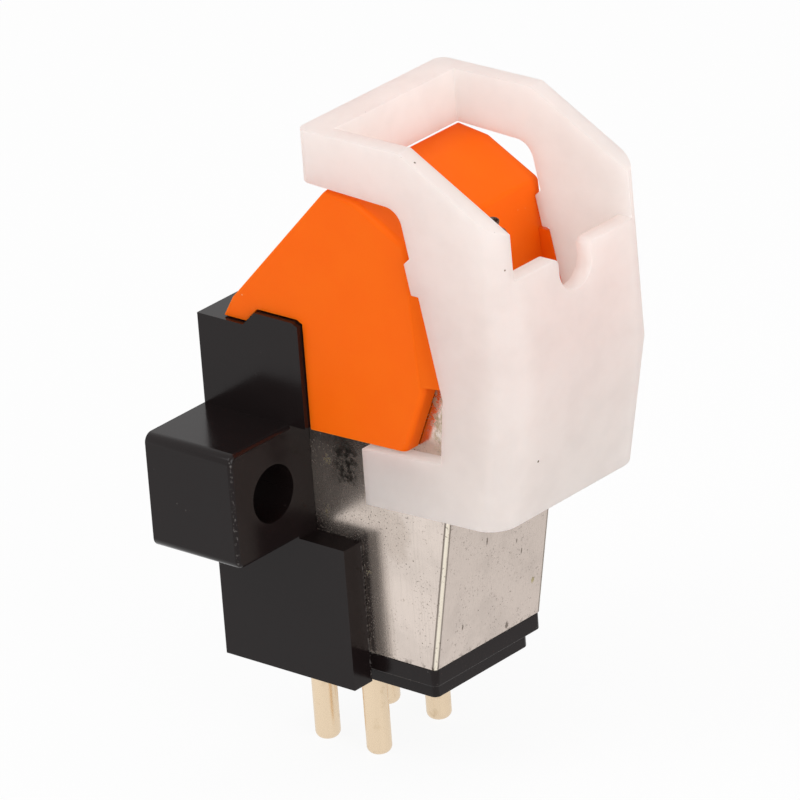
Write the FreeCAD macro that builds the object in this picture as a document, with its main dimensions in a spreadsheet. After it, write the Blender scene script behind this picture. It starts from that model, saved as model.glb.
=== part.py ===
import FreeCAD, Part
import math
import os
import Sketcher

# A moving-magnet stylus cartridge, in millimetres. The origin lies on the flat mounting face, midway
# between the two screw holes. +X points from the mounting face to the record side, +Z along the
# cartridge to its nose, away from the pins, and Y runs from ear to ear.

doc = FreeCAD.newDocument("stylus_cartridge")
sheet = doc.addObject("Spreadsheet::Sheet", "sizes")

SIZES = {
    # body moulding
    "hole_spacing": 12.7,
    "hole_radius": 1.35,
    "ear_span": 18.0,
    "ear_depth": 5.0,
    "ear_height": 5.5,
    "ear_round": 0.45,
    "ear_edge": 0.2,
    "body_width": 9.84,
    "block_depth": 7.6,
    "block_height": 6.85,
    "upper_depth": 5.9,
    "upper_height": 4.35,
    "tab_length": 2.5,
    "tab_rise": 0.7,
    "tab_bevel": 0.3,
    "back_wall": 0.9,
    "roof_wall": 0.68,
    # shield can
    "can_width": 7.38,
    "can_sheet": 0.35,
    "can_depth_low": 10.46,
    "can_depth_high": 13.22,
    "can_round": 0.2,
    "fit_gap": 0.02,
    # terminal base and pins
    "base_drop": 0.23,
    "base_tier": 0.815,
    "base_round": 0.3,
    "base_inset": 0.45,
    "plug_height": 1.0,
    "pedestal_width": 2.2,
    "pin_radius": 0.58,
    "pin_reach": 4.29,
    "root_radius": 0.4,
    "root_length": 2.83,
    "pin_row": 3.2,
    "pin_pitch": 3.05,
    "pin_gauge": 4.2,
    "pin_round": 0.35,
    # magnetic core and coils
    "core_back": 6.5,
    "core_leg": 1.0,
    "core_sheet": 0.6,
    "core_bar": 0.9,
    "arm_height": 1.2,
    "tip_depth": 1.5,
    "tip_clearance": 0.05,
    "hub_wall": 0.06,
    "bobbin_height": 6.6,
    "bobbin_flange": 0.4,
    "coil_clearance": 0.05,
    "screen_sheet": 0.3,
    "lead_radius": 0.06,
    "lead_rise": 0.4,
    "lead_offset": 0.2,
    # stylus holder
    "holder_width": 9.26,
    "holder_setback": 1.39,
    "holder_back": 1.35,
    "cheek_drop": 3.74,
    "cheek_rise": 0.16,
    "cheek_slope": 1.3,
    "slide_gap": 0.05,
    "ridge_setback": 4.8,
    "ridge_height": 8.1,
    "facet_length": 1.65,
    "facet_drop": 0.24,
    "brow_height": 6.38,
    "brow_round": 0.35,
    "front_lean": 0.42,
    "chin_drop": 0.6,
    "heel_height": 1.0,
    "heel_length": 0.6,
    "edge_round": 0.28,
    "throat_width": 2.3,
    "throat_height": 4.2,
    "throat_depth": 1.5,
    # plug sleeve
    "sleeve_width": 2.6,
    "sleeve_sheet": 0.25,
    "plug_inset": 2.39,
    "sleeve_drop": 2.4,
    "sleeve_rise": 2.4,
    "sleeve_mouth": 2.0,
    # stylus lever
    "lever_tilt": 13.5,
    "pivot_offset": 0.2,
    "pivot_drop": 0.2,
    "lever_length": 6.6,
    "lever_radius": 0.25,
    "lever_sheet": 0.06,
    "damper_height": 0.6,
    "damper_gap": 0.08,
    "joint_radius": 0.38,
    "joint_length": 0.4,
    "magnet_radius": 0.35,
    "magnet_length": 1.0,
    "diamond_shank": 0.35,
    "diamond_radius": 0.12,
    "diamond_tip": 0.25,
    "diamond_inset": 0.3,
    # stylus guard
    "guard_width": 9.86,
    "guard_wall": 0.88,
    "nape_wall": 1.5,
    "guard_reach": 5.2,
    "guard_length": 11.2,
    "crease_bulge": 0.15,
    "foot_taper": 1.15,
    "cap_gap": 0.3,
    "cap_height": 2.47,
    "cap_slant_length": 5.33,
    "cap_slant_drop": 2.97,
    "sill_drop": 2.13,
    "slot_width": 2.2,
    "slot_depth": 1.82,
    "slot_round": 0.35,
    "brim_drop": 0.24,
    "brim_round": 0.9,
    "edge_lean": 1.74,
    "lug_height": 0.4,
    "lug_length": 1.72,
    "lug_slope": 0.3,
    "lug_inset": 0.4,
    "hip_reach": 1.32,
    "hip_drop": 0.46,
    "waist_reach": 0.95,
    "foot_drop": 6.5,
    "foot_rise": 0.27,
    "foot_height": 2.7,
    "foot_length": 7.65,
    "guard_round": 1.2,
    "nape_round": 0.55,
}

for row, (word, value) in enumerate(SIZES.items(), start=1):
    sheet.set(f"A{row}", word)
    sheet.set(f"B{row}", str(value))
    sheet.setAlias(f"B{row}", word)
doc.recompute()


def of(word):
    """Gives the value that the sheet holds for a size."""
    return float(sheet.get(word))


# Heights and half widths that follow from the sizes, written as expressions on the sheet.
ear_top = "sizes.ear_height / 2"
ear_bottom = "-sizes.ear_height / 2"
block_bottom = "(-sizes.ear_height / 2 - sizes.block_height)"
body_top = "(sizes.ear_height / 2 + sizes.upper_height)"
tab_top = f"({body_top} + sizes.tab_rise)"
base_bottom = f"({block_bottom} - sizes.base_drop)"
can_bottom = f"({base_bottom} + 2 * sizes.base_tier)"
can_top = f"({body_top} - sizes.roof_wall - sizes.fit_gap)"
can_back = "(sizes.back_wall + sizes.fit_gap)"
can_front_low = f"({can_back} + sizes.can_depth_low)"
can_front_high = f"({can_back} + sizes.can_depth_high)"
can_inside = "(sizes.can_width / 2 - sizes.can_sheet)"
plug_top = f"({can_bottom} + sizes.plug_height)"
tab_back = "(sizes.upper_depth - sizes.tab_length)"
holder_seat = f"({can_top} + sizes.slide_gap)"
holder_heel = f"({body_top} + sizes.slide_gap)"
cheek_bottom = f"({can_top} - sizes.cheek_drop)"
ridge_top = f"({can_top} + sizes.ridge_height)"
brow_top = f"({can_top} + sizes.brow_height)"
pivot_height = f"({can_top} - sizes.pivot_drop)"
cap_bottom = f"({ridge_top} + sizes.cap_gap)"
cap_top = f"({cap_bottom} + sizes.cap_height)"
cap_front_top = f"({cap_top} - sizes.cap_slant_drop)"
sill_top = f"({cap_front_top} - sizes.sill_drop)"
foot_bottom = f"({can_top} - sizes.foot_drop)"
foot_top = f"({foot_bottom} + sizes.foot_height)"
guard_inside = "(sizes.guard_width / 2 - sizes.guard_wall)"
holder_front = f"({can_front_high} - sizes.holder_setback)"
ridge_front = f"({holder_front} - sizes.ridge_setback)"
sleeve_middle = f"({can_front_high} - sizes.plug_inset)"
pivot_front = f"({sleeve_middle} + sizes.pivot_offset)"
guard_front = f"({holder_front} + sizes.guard_reach)"
guard_back = f"({guard_front} - sizes.guard_length)"
crease_front = f"({guard_front} + sizes.crease_bulge)"
foot_front = f"({guard_front} - sizes.foot_taper)"
foot_back = f"({foot_front} - sizes.foot_length)"
cap_slant_back = f"({guard_front} - sizes.cap_slant_length)"
brim_bottom = f"({cap_bottom} - sizes.brim_drop)"
hip_height = f"({holder_seat} - sizes.hip_drop)"
hip_front = f"({holder_front} + sizes.hip_reach)"
edge_slope = f"(sizes.edge_lean / ({brim_bottom} - {hip_height}))"
lug_top = f"({brow_top} - sizes.lug_inset)"
lug_shoulder = f"({lug_top} - sizes.lug_slope)"
lug_bottom = f"({lug_top} - sizes.lug_length)"


def edge_front(height):
    """Gives how far forward the guard's leaning rear edge lies at a height."""
    return f"({hip_front} - {edge_slope} * (({height}) - {hip_height}))"


PLANES = {"side": "XZ_Plane", "front": "YZ_Plane", "top": "XY_Plane"}


def new_sketch(body, name, view, shift):
    """Adds an empty sketch on one of the body's own planes, moved along its normal."""
    sketch = body.newObject("Sketcher::SketchObject", name)
    plane = next(f for f in body.Origin.OriginFeatures if f.Role == PLANES[view])
    sketch.AttachmentSupport = [(plane, "")]
    sketch.MapMode = "FlatFace"
    if shift:
        sketch.setExpression("AttachmentOffset.Base.z", shift)
    return sketch


def place(sketch, geometry, point, across, along):
    """Binds one point of a sketch to two expressions, measured from the sketch's origin."""
    for kind, expression in (("DistanceX", across), ("DistanceY", along)):
        number = sketch.addConstraint(Sketcher.Constraint(kind, -1, 1, geometry, point, 1.0))
        sketch.setExpression(f"Constraints[{number}]", expression)


def outline(body, name, view, corners, shift=None):
    """Draws closed straight-sided outlines whose corners are bound to expressions."""
    sketch = new_sketch(body, name, view, shift)
    loops = corners if isinstance(corners[0], list) else [corners]
    for loop in loops:
        first = sketch.GeometryCount
        count = len(loop)
        turns = [2 * math.pi * i / count for i in range(count)]
        seeds = [FreeCAD.Vector(math.cos(a), math.sin(a), 0) for a in turns]
        for i in range(count):
            sketch.addGeometry(Part.LineSegment(seeds[i], seeds[(i + 1) % count]), False)
        for i in range(count):
            following = first + (i + 1) % count
            sketch.addConstraint(Sketcher.Constraint("Coincident", first + i, 2, following, 1))
        for i, (across, along) in enumerate(loop):
            place(sketch, first + i, 1, across, along)
    doc.recompute()
    return sketch


def circles(body, name, view, radius, centres, shift=None):
    """Draws equal circles whose centres and radius are bound to expressions."""
    sketch = new_sketch(body, name, view, shift)
    axis = FreeCAD.Vector(0, 0, 1)
    for i, (across, along) in enumerate(centres):
        sketch.addGeometry(Part.Circle(FreeCAD.Vector(4 * i, 0, 0), axis, 1.0), False)
        place(sketch, i, 3, across, along)
        number = sketch.addConstraint(Sketcher.Constraint("Radius", i, 1.0))
        sketch.setExpression(f"Constraints[{number}]", radius)
    doc.recompute()
    return sketch


def rectangle(low_across, high_across, low_along, high_along):
    """Gives the four corners of an upright rectangle."""
    return [
        (low_across, low_along),
        (high_across, low_along),
        (high_across, high_along),
        (low_across, high_along),
    ]


def pad(body, sketch, length, symmetric=True):
    """Pads a sketch, to both sides of its plane unless told otherwise."""
    feature = body.newObject("PartDesign::Pad", sketch.Name + "_pad")
    feature.Profile = sketch
    feature.SideType = "Symmetric" if symmetric else "One side"
    feature.setExpression("Length", length)
    doc.recompute()
    return feature


def pocket(body, sketch, length, symmetric=True, reverse=False):
    """Cuts a sketch out of the body and checks that the cut took something away."""
    before = body.Shape.Volume
    feature = body.newObject("PartDesign::Pocket", sketch.Name + "_cut")
    feature.Profile = sketch
    feature.SideType = "Symmetric" if symmetric else "One side"
    feature.Reversed = reverse
    feature.setExpression("Length", length)
    doc.recompute()
    if not feature.Shape.Volume < before:
        raise RuntimeError(f"{feature.Name} cuts nothing")
    return feature


def edges_between(shape, start, end):
    """Names the straight edges of a shape that lie on the line from start to end."""
    names = []
    line = end - start
    for number, edge in enumerate(shape.Edges, start=1):
        points = [v.Point for v in edge.Vertexes] + [edge.CenterOfMass]
        on_line = all((p - start).cross(line).Length < 1e-4 * line.Length for p in points)
        within = all(-1e-4 < (p - start).dot(line) / line.dot(line) < 1.0001 for p in points)
        if on_line and within:
            names.append(f"Edge{number}")
    return names


def round_edges(body, name, base, lines, radius):
    """Fillets the edges of the base feature that lie on the given lines."""
    found = [edge for start, end in lines for edge in edges_between(base.Shape, start, end)]
    feature = body.newObject("PartDesign::Fillet", name)
    feature.Base = (base, found)
    feature.setExpression("Radius", radius)
    doc.recompute()
    return feature


def corner(sketch, number):
    """Gives the place of an outline's corner in the sketch's own plane."""
    return sketch.Geometry[number].StartPoint


def side_lines(sketch, pairs, half_width):
    """Gives the lines between outline corners on both side faces of a symmetric pad."""
    lines = []
    for first, second in pairs:
        a, b = corner(sketch, first), corner(sketch, second)
        for y in (-half_width, half_width):
            lines.append((FreeCAD.Vector(a.x, y, a.y), FreeCAD.Vector(b.x, y, b.y)))
    return lines


def across_lines(sketch, numbers, half_width):
    """Gives the lines that run from side to side through outline corners."""
    lines = []
    for number in numbers:
        a = corner(sketch, number)
        ends = [FreeCAD.Vector(a.x, y, a.y) for y in (-half_width, half_width)]
        lines.append(tuple(ends))
    return lines


def upright_lines(sketch, numbers, height):
    """Gives the lines that rise through corners of an outline that lies level."""
    low = sketch.Placement.Base.z
    lines = []
    for number in numbers:
        a = corner(sketch, number)
        lines.append((FreeCAD.Vector(a.x, a.y, low), FreeCAD.Vector(a.x, a.y, low + height)))
    return lines


def part_body(name):
    """Adds an empty body for one sub-part."""
    body = doc.addObject("PartDesign::Body", name)
    body.Label = name
    return body


def box(name, low, high):
    """Adds a box between two corners that are given as expressions."""
    solid = doc.addObject("Part::Box", name)
    for side, axis, start, end in zip(("Length", "Width", "Height"), "xyz", low, high):
        solid.setExpression(side, f"({end}) - ({start})")
        solid.setExpression(f"Placement.Base.{axis}", start)
    return solid


def cylinder(name, radius, height, base, turn=None):
    """Adds a cylinder that rises from its base, tilted about Y by the angle turn."""
    solid = doc.addObject("Part::Cylinder", name)
    solid.setExpression("Radius", radius)
    solid.setExpression("Height", height)
    stand(solid, base, turn)
    return solid


def stand(solid, base, turn=None):
    """Binds where a primitive stands and its tilt about Y."""
    if turn:
        rotation = FreeCAD.Rotation(FreeCAD.Vector(0, 1, 0), 10)
        solid.Placement = FreeCAD.Placement(FreeCAD.Vector(), rotation)
        solid.setExpression("Placement.Rotation.Angle", turn)
    for axis, expression in zip("xyz", base):
        solid.setExpression(f"Placement.Base.{axis}", expression)


def cut(name, base, tool):
    """Cuts one solid with another."""
    result = doc.addObject("Part::Cut", name)
    result.Base = base
    result.Tool = tool
    doc.recompute()
    return result


def fuse(name, *pieces):
    """Joins solids into one."""
    result = doc.addObject("Part::MultiFuse", name)
    result.Shapes = list(pieces)
    result.Refine = True
    doc.recompute()
    return result


# Black body moulding: two ears, a lower block that flanks the can and an upper block with a tab.
body = part_body("body_moulding")
profile = outline(body, "body_side", "side", [
    ("0", block_bottom),
    ("sizes.block_depth", block_bottom),
    ("sizes.block_depth", ear_bottom),
    ("sizes.ear_depth", ear_bottom),
    ("sizes.ear_depth", ear_top),
    ("sizes.upper_depth", ear_top),
    ("sizes.upper_depth", f"{tab_top} - sizes.tab_bevel / 2"),
    ("sizes.upper_depth - sizes.tab_bevel", tab_top),
    (tab_back, tab_top),
    (f"{tab_back} - sizes.tab_rise", body_top),
    ("0", body_top),
])
pad(body, profile, "sizes.body_width")
ears = outline(body, "ear_side", "side", rectangle("0", "sizes.ear_depth", ear_bottom, ear_top))
solid = pad(body, ears, "sizes.ear_span")
ear_half = of("ear_span") / 2
long_lines = side_lines(ears, [(0, 1), (2, 3)], ear_half)
front_lines = side_lines(ears, [(1, 2)], ear_half)
solid = round_edges(body, "ear_rounding", solid, long_lines, "sizes.ear_round")
solid = round_edges(body, "ear_front_rounding", solid, front_lines, "sizes.ear_edge")
cavity = outline(body, "can_seat", "side", rectangle(
    "sizes.back_wall",
    "sizes.block_depth + sizes.upper_depth",
    f"{block_bottom} - sizes.base_tier",
    f"{can_top} + sizes.fit_gap",
))
pocket(body, cavity, "sizes.can_width + 2 * sizes.fit_gap")
holes = circles(body, "screw_holes", "front", "sizes.hole_radius", [
    ("-sizes.hole_spacing / 2", "0"),
    ("sizes.hole_spacing / 2", "0"),
])
pocket(body, holes, "4 * sizes.ear_depth")

# Nickel-plated can, folded from sheet, open at its lower end and tapered on the record side.
can = part_body("shield_can")
shell = outline(can, "can_outer", "side", [
    (can_back, can_bottom),
    (can_front_low, can_bottom),
    (can_front_high, can_top),
    (can_back, can_top),
])
solid = pad(can, shell, "sizes.can_width")
front_lines = side_lines(shell, [(1, 2)], of("can_width") / 2)
solid = round_edges(can, "can_rounding", solid, front_lines, "sizes.can_round")
taper = f"(({can_front_high} - {can_front_low}) / ({can_top} - {can_bottom}))"
hollow = outline(can, "can_inner", "side", [
    (f"{can_back} + sizes.can_sheet", f"{can_bottom} - sizes.can_sheet"),
    (f"{can_front_low} - sizes.can_sheet * (1 + {taper})", f"{can_bottom} - sizes.can_sheet"),
    (f"{can_front_high} - sizes.can_sheet * (1 + {taper})", f"{can_top} - sizes.can_sheet"),
    (f"{can_back} + sizes.can_sheet", f"{can_top} - sizes.can_sheet"),
])
pocket(can, hollow, f"2 * {can_inside}")
sleeve_half = "(sizes.sleeve_width / 2 + sizes.slide_gap)"
socket = outline(can, "plug_hole", "top", rectangle(
    f"{sleeve_middle} - {sleeve_half}",
    f"{sleeve_middle} + {sleeve_half}",
    f"-{sleeve_half}",
    sleeve_half,
), f"{can_top} - 2 * sizes.can_sheet")
pocket(can, socket, "4 * sizes.can_sheet", symmetric=False, reverse=True)

# Black terminal base: two tiers below the can, a plug inside it and a pedestal for the core.
pin_rows = ["sizes.pin_row", "(sizes.pin_row + sizes.pin_pitch)"]
base = part_body("terminal_base")
upper_tier = outline(base, "upper_tier", "top", rectangle(
    can_back, f"{can_front_low} - sizes.fit_gap", "-sizes.can_width / 2", "sizes.can_width / 2",
), f"{base_bottom} + sizes.base_tier")
pad(base, upper_tier, "sizes.base_tier", symmetric=False)
lower_tier = outline(base, "lower_tier", "top", rectangle(
    f"{can_back} + sizes.base_inset",
    f"{can_front_low} - sizes.base_inset",
    "-sizes.can_width / 2 + sizes.base_inset",
    "sizes.can_width / 2 - sizes.base_inset",
), base_bottom)
pad(base, lower_tier, "sizes.base_tier", symmetric=False)
plug_half = f"({can_inside} - sizes.fit_gap)"
plug = outline(base, "base_plug", "top", rectangle(
    f"{can_back} + sizes.can_sheet + sizes.fit_gap",
    f"{can_front_low} - sizes.can_sheet * (1 + {taper}) - sizes.fit_gap",
    f"-{plug_half}",
    plug_half,
), can_bottom)
pad(base, plug, "sizes.plug_height", symmetric=False)
bridge_bottom = f"({plug_top} + sizes.plug_height)"
pedestal = outline(base, "pedestal", "top", rectangle(
    "sizes.core_back - sizes.core_leg / 4",
    "sizes.core_back + sizes.core_leg * 5 / 4",
    "-sizes.pedestal_width / 2",
    "sizes.pedestal_width / 2",
), plug_top)
solid = pad(base, pedestal, "sizes.plug_height", symmetric=False)
tier = of("base_tier")
tier_lines = upright_lines(upper_tier, [1, 2], tier) + upright_lines(lower_tier, [1, 2], tier)
round_edges(base, "tier_rounding", solid, tier_lines, "sizes.base_round")
pin_holes = circles(base, "pin_holes", "top", "sizes.root_radius + sizes.fit_gap", [
    (pin_rows[0], "-sizes.pin_gauge / 2"),
    (pin_rows[0], "sizes.pin_gauge / 2"),
    (pin_rows[1], "-sizes.pin_gauge / 2"),
    (pin_rows[1], "sizes.pin_gauge / 2"),
], f"{base_bottom} - sizes.base_tier")
pocket(base, pin_holes, "6 * sizes.base_tier", symmetric=False, reverse=True)

# Four contact pins. Each has a rounded free end, and a thinner root that passes through the base.
PINS = {
    "pin_left_signal": (pin_rows[0], "-sizes.pin_gauge / 2"),
    "pin_left_return": (pin_rows[1], "-sizes.pin_gauge / 2"),
    "pin_right_signal": (pin_rows[0], "sizes.pin_gauge / 2"),
    "pin_right_return": (pin_rows[1], "sizes.pin_gauge / 2"),
}
pin_bottom = f"({base_bottom} - sizes.pin_reach)"
pin_top = f"({base_bottom} + sizes.root_length)"
for name, spot in PINS.items():
    pin = part_body(name)
    shaft = circles(pin, name + "_shaft", "top", "sizes.pin_radius", [spot], pin_bottom)
    pad(pin, shaft, "sizes.pin_reach", symmetric=False)
    root = circles(pin, name + "_root", "top", "sizes.root_radius", [spot], base_bottom)
    solid = pad(pin, root, "sizes.root_length", symmetric=False)
    lowest = solid.Shape.BoundBox.ZMin
    rings = [
        f"Edge{number}" for number, edge in enumerate(solid.Shape.Edges, start=1)
        if abs(edge.BoundBox.ZMax - lowest) < 1e-4
    ]
    rounding = pin.newObject("PartDesign::Fillet", name + "_rounding")
    rounding.Base = (solid, rings)
    rounding.setExpression("Radius", "sizes.pin_round")
doc.recompute()

# Two core pieces: a leg through each coil, an arm toward the record side and a tip beside the plug.
leg_bottom = f"({bridge_bottom} + sizes.core_bar)"
bobbin_bottom = leg_bottom
bobbin_top = f"({bobbin_bottom} + sizes.bobbin_height)"
arm_top = f"({bobbin_top} + sizes.arm_height)"
tip_front = f"({pivot_front} + sizes.tip_depth / 3)"
leg_near = "(sizes.sleeve_width / 2 + sizes.tip_clearance)"
leg_far = f"({leg_near} + sizes.core_sheet)"
tip_top = f"({can_top} - sizes.can_sheet - sizes.tip_clearance)"
leg_middle = "(sizes.core_back + sizes.core_leg / 2)"
coil_middle = f"({leg_near} + sizes.core_sheet / 2)"
coil_room = f"min({can_inside} - {coil_middle}; {coil_middle} - sizes.screen_sheet / 2)"
flange_radius = f"({coil_room} - sizes.coil_clearance)"
coil_radius = f"({flange_radius} - sizes.coil_clearance)"
half_diagonal = "sqrt(sizes.core_leg * sizes.core_leg + sizes.core_sheet * sizes.core_sheet) / 2"
hub_radius = f"({half_diagonal} + sizes.hub_wall)"
SIDES = {"left": -1, "right": 1}
for side, sign in SIDES.items():
    core = part_body(f"pole_{side}")
    shape = outline(core, f"pole_{side}_shape", "side", [
        ("sizes.core_back", leg_bottom),
        ("sizes.core_back + sizes.core_leg", leg_bottom),
        ("sizes.core_back + sizes.core_leg", bobbin_top),
        (tip_front, bobbin_top),
        (tip_front, tip_top),
        (f"{tip_front} - sizes.tip_depth", tip_top),
        (f"{tip_front} - sizes.tip_depth", arm_top),
        ("sizes.core_back", arm_top),
    ], leg_near if sign < 0 else f"-{leg_far}")
    pad(core, shape, "sizes.core_sheet", symmetric=False)

# The bar that joins the legs under the coils.
bridge = box(
    "core_bridge",
    ("sizes.core_back", f"-{leg_far}", bridge_bottom),
    ("sizes.core_back + sizes.core_leg", leg_far, leg_bottom),
)
bridge.Label = "core_bridge"

# Bobbins are turned spools with a square hole for the leg. Each coil fills the space on its hub.
for side, sign in SIDES.items():
    y = f"{sign} * {coil_middle}"
    spool = [
        cylinder(f"hub_{side}", hub_radius, "sizes.bobbin_height",
                 (leg_middle, y, bobbin_bottom)),
        cylinder(f"flange_low_{side}", flange_radius, "sizes.bobbin_flange",
                 (leg_middle, y, bobbin_bottom)),
        cylinder(f"flange_high_{side}", flange_radius, "sizes.bobbin_flange",
                 (leg_middle, y, f"{bobbin_top} - sizes.bobbin_flange")),
    ]
    whole = fuse(f"spool_{side}", *spool)
    leg_hole = box(
        f"leg_hole_{side}",
        ("sizes.core_back - sizes.fit_gap",
         f"{y} - sizes.core_sheet / 2 - sizes.fit_gap",
         f"{bobbin_bottom} - sizes.bobbin_flange"),
        ("sizes.core_back + sizes.core_leg + sizes.fit_gap",
         f"{y} + sizes.core_sheet / 2 + sizes.fit_gap",
         f"{bobbin_top} + sizes.bobbin_flange"),
    )
    cut(f"bobbin_{side}", whole, leg_hole)
    winding_height = "(sizes.bobbin_height - 2 * sizes.bobbin_flange)"
    winding_base = (leg_middle, y, f"{bobbin_bottom} + sizes.bobbin_flange")
    winding = cylinder(f"winding_{side}", coil_radius, winding_height, winding_base)
    core_hole = cylinder(f"hub_hole_{side}", hub_radius, winding_height, winding_base)
    cut(f"coil_{side}", winding, core_hole)

# The screen stands on the bridge, between the two coils.
screen = box(
    "channel_screen",
    ("sizes.core_back - sizes.core_leg", "-sizes.screen_sheet / 2", leg_bottom),
    ("sizes.core_back + 2 * sizes.core_leg", "sizes.screen_sheet / 2", bobbin_top),
)

# Fine leads, one swept wire from the top of each pin to the side of the nearest coil.
lead_back = f"({leg_middle} - {flange_radius} - sizes.lead_offset)"
lead_shift = f"(sizes.pin_gauge / 2 - {coil_middle} - sizes.lead_radius)"
lead_end = f"({leg_middle} - sqrt({coil_radius} * {coil_radius} - {lead_shift} * {lead_shift}))"
lead_low = f"({pin_top} + sizes.lead_rise)"
LEADS = {
    "signal": f"({bobbin_bottom} + 3 * sizes.bobbin_flange)",
    "return": f"({bobbin_bottom} + 2 * sizes.bobbin_flange)",
}
wires = []
for name, (x, y) in PINS.items():
    kind = name.split("_")[-1]
    wire = doc.addObject("PartDesign::Body", name.replace("pin", "lead"))
    path = new_sketch(wire, wire.Name + "_path", "side", f"-({y})")
    places = [
        (x, pin_top),
        (x, lead_low),
        (lead_back, lead_low),
        (lead_back, LEADS[kind]),
        (lead_end, LEADS[kind]),
    ]
    for i in range(4):
        ends = [FreeCAD.Vector(j, j * j, 0) for j in (i, i + 1)]
        path.addGeometry(Part.LineSegment(*ends), False)
    for i in range(3):
        path.addConstraint(Sketcher.Constraint("Coincident", i, 2, i + 1, 1))
    for i, (across, along) in enumerate(places[:4]):
        place(path, i, 1, across, along)
    place(path, 3, 2, *places[4])
    section = circles(wire, wire.Name + "_section", "top", "sizes.lead_radius", [(x, y)], pin_top)
    sweep = wire.newObject("PartDesign::AdditivePipe", wire.Name + "_sweep")
    sweep.Profile = section
    sweep.Spine = (path, [f"Edge{i}" for i in range(1, 5)])
    sweep.Transition = "Right corner"
    wires.append(wire)
coil_leads = doc.addObject("Part::Compound", "coil_leads")
coil_leads.Links = wires
doc.recompute()

# Orange stylus holder: a wedge that seats on the can and the body, with a cheek down each side.
holder = part_body("stylus_holder")
wedge = outline(holder, "holder_side", "side", [
    ("sizes.upper_depth + sizes.slide_gap", cheek_bottom),
    (f"{holder_front} - sizes.cheek_slope", f"{cheek_bottom} + sizes.cheek_rise"),
    (holder_front, f"{holder_seat} - sizes.chin_drop"),
    (f"{holder_front} - sizes.front_lean", brow_top),
    (f"{ridge_front} + sizes.facet_length", f"{ridge_top} - sizes.facet_drop"),
    (ridge_front, ridge_top),
    ("sizes.holder_back + sizes.heel_length", f"{holder_heel} + sizes.heel_height"),
    ("sizes.holder_back", holder_heel),
    (f"{tab_back} - sizes.tab_rise - sizes.slide_gap", holder_heel),
    (f"{tab_back} - sizes.slide_gap", f"{tab_top} + sizes.slide_gap"),
    ("sizes.upper_depth + sizes.slide_gap - sizes.tab_bevel", f"{tab_top} + sizes.slide_gap"),
    ("sizes.upper_depth + sizes.slide_gap", f"{tab_top} + sizes.slide_gap - sizes.tab_bevel / 2"),
])
solid = pad(holder, wedge, "sizes.holder_width")
wedge_lines = side_lines(wedge, [(1, 2), (2, 3), (3, 4), (4, 5)], of("holder_width") / 2)
brow_lines = across_lines(wedge, [3], of("holder_width") / 2)
solid = round_edges(holder, "brow_rounding", solid, brow_lines, "sizes.brow_round")
solid = round_edges(holder, "edge_rounding", solid, wedge_lines, "sizes.edge_round")
can_channel = outline(holder, "can_channel", "side", rectangle(
    "sizes.ear_depth", f"{holder_front} + 1", f"{cheek_bottom} - 1", holder_seat,
))
pocket(holder, can_channel, "sizes.can_width + 2 * sizes.slide_gap")
bore_half = "(sizes.sleeve_width / 2)"
sleeve_bore = outline(holder, "sleeve_bore", "top", rectangle(
    f"{sleeve_middle} - {bore_half}",
    f"{sleeve_middle} + {bore_half}",
    f"-{bore_half}",
    bore_half,
), holder_seat)
pocket(holder, sleeve_bore, "sizes.sleeve_rise", symmetric=False, reverse=True)
throat = outline(holder, "throat", "side", rectangle(
    f"{holder_front} - sizes.throat_depth",
    f"{holder_front} + 1",
    f"{holder_seat} - 1",
    f"{holder_seat} + sizes.throat_height",
))
pocket(holder, throat, "sizes.throat_width")

# Thin square sleeve of the plug, with a slanted mouth on the record side for the lever.
sleeve = part_body("plug_sleeve")
sleeve_bottom = f"({can_top} - sizes.sleeve_drop)"
sleeve_top = f"({holder_seat} + sizes.sleeve_rise)"
tube = outline(sleeve, "sleeve_side", "side", [
    (f"{sleeve_middle} - {bore_half}", sleeve_bottom),
    (f"{sleeve_middle} + {bore_half}", sleeve_bottom),
    (f"{sleeve_middle} + {bore_half}", f"{sleeve_top} - sizes.sleeve_mouth"),
    (f"{sleeve_middle} - {bore_half}", sleeve_top),
])
pad(sleeve, tube, "sizes.sleeve_width")
inner_half = "(sizes.sleeve_width / 2 - sizes.sleeve_sheet)"
tube_hole = outline(sleeve, "sleeve_hole", "top", rectangle(
    f"{sleeve_middle} - {inner_half}",
    f"{sleeve_middle} + {inner_half}",
    f"-{inner_half}",
    inner_half,
), f"{sleeve_bottom} - 1")
pocket(sleeve, tube_hole, "sizes.sleeve_drop + sizes.sleeve_rise + 2", symmetric=False, reverse=True)

# The stylus lever turns about the pivot. Along it, a place is given by its distance from the pivot.
sine = "sin(sizes.lever_tilt)"
cosine = "cos(sizes.lever_tilt)"


def on_lever(distance):
    """Gives the place on the lever's axis at a distance from the pivot, toward the tip."""
    return (
        f"{pivot_front} + ({distance}) * {sine}",
        "0",
        f"{pivot_height} + ({distance}) * {cosine}",
    )


def rod_on_lever(name, radius, start, length):
    """Adds a rod along the lever's axis."""
    return cylinder(name, radius, length, on_lever(start), "sizes.lever_tilt")


damper_radius = "(sizes.sleeve_width / 2 - sizes.sleeve_sheet - sizes.pivot_offset - sizes.damper_gap)"
hole_radius = "sizes.lever_radius + sizes.slide_gap"
disc = rod_on_lever("disc", damper_radius, "-sizes.damper_height / 2", "sizes.damper_height")
disc_hole = rod_on_lever("disc_hole", hole_radius, "-sizes.damper_height", "2 * sizes.damper_height")
cut("damper", disc, disc_hole)

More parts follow.
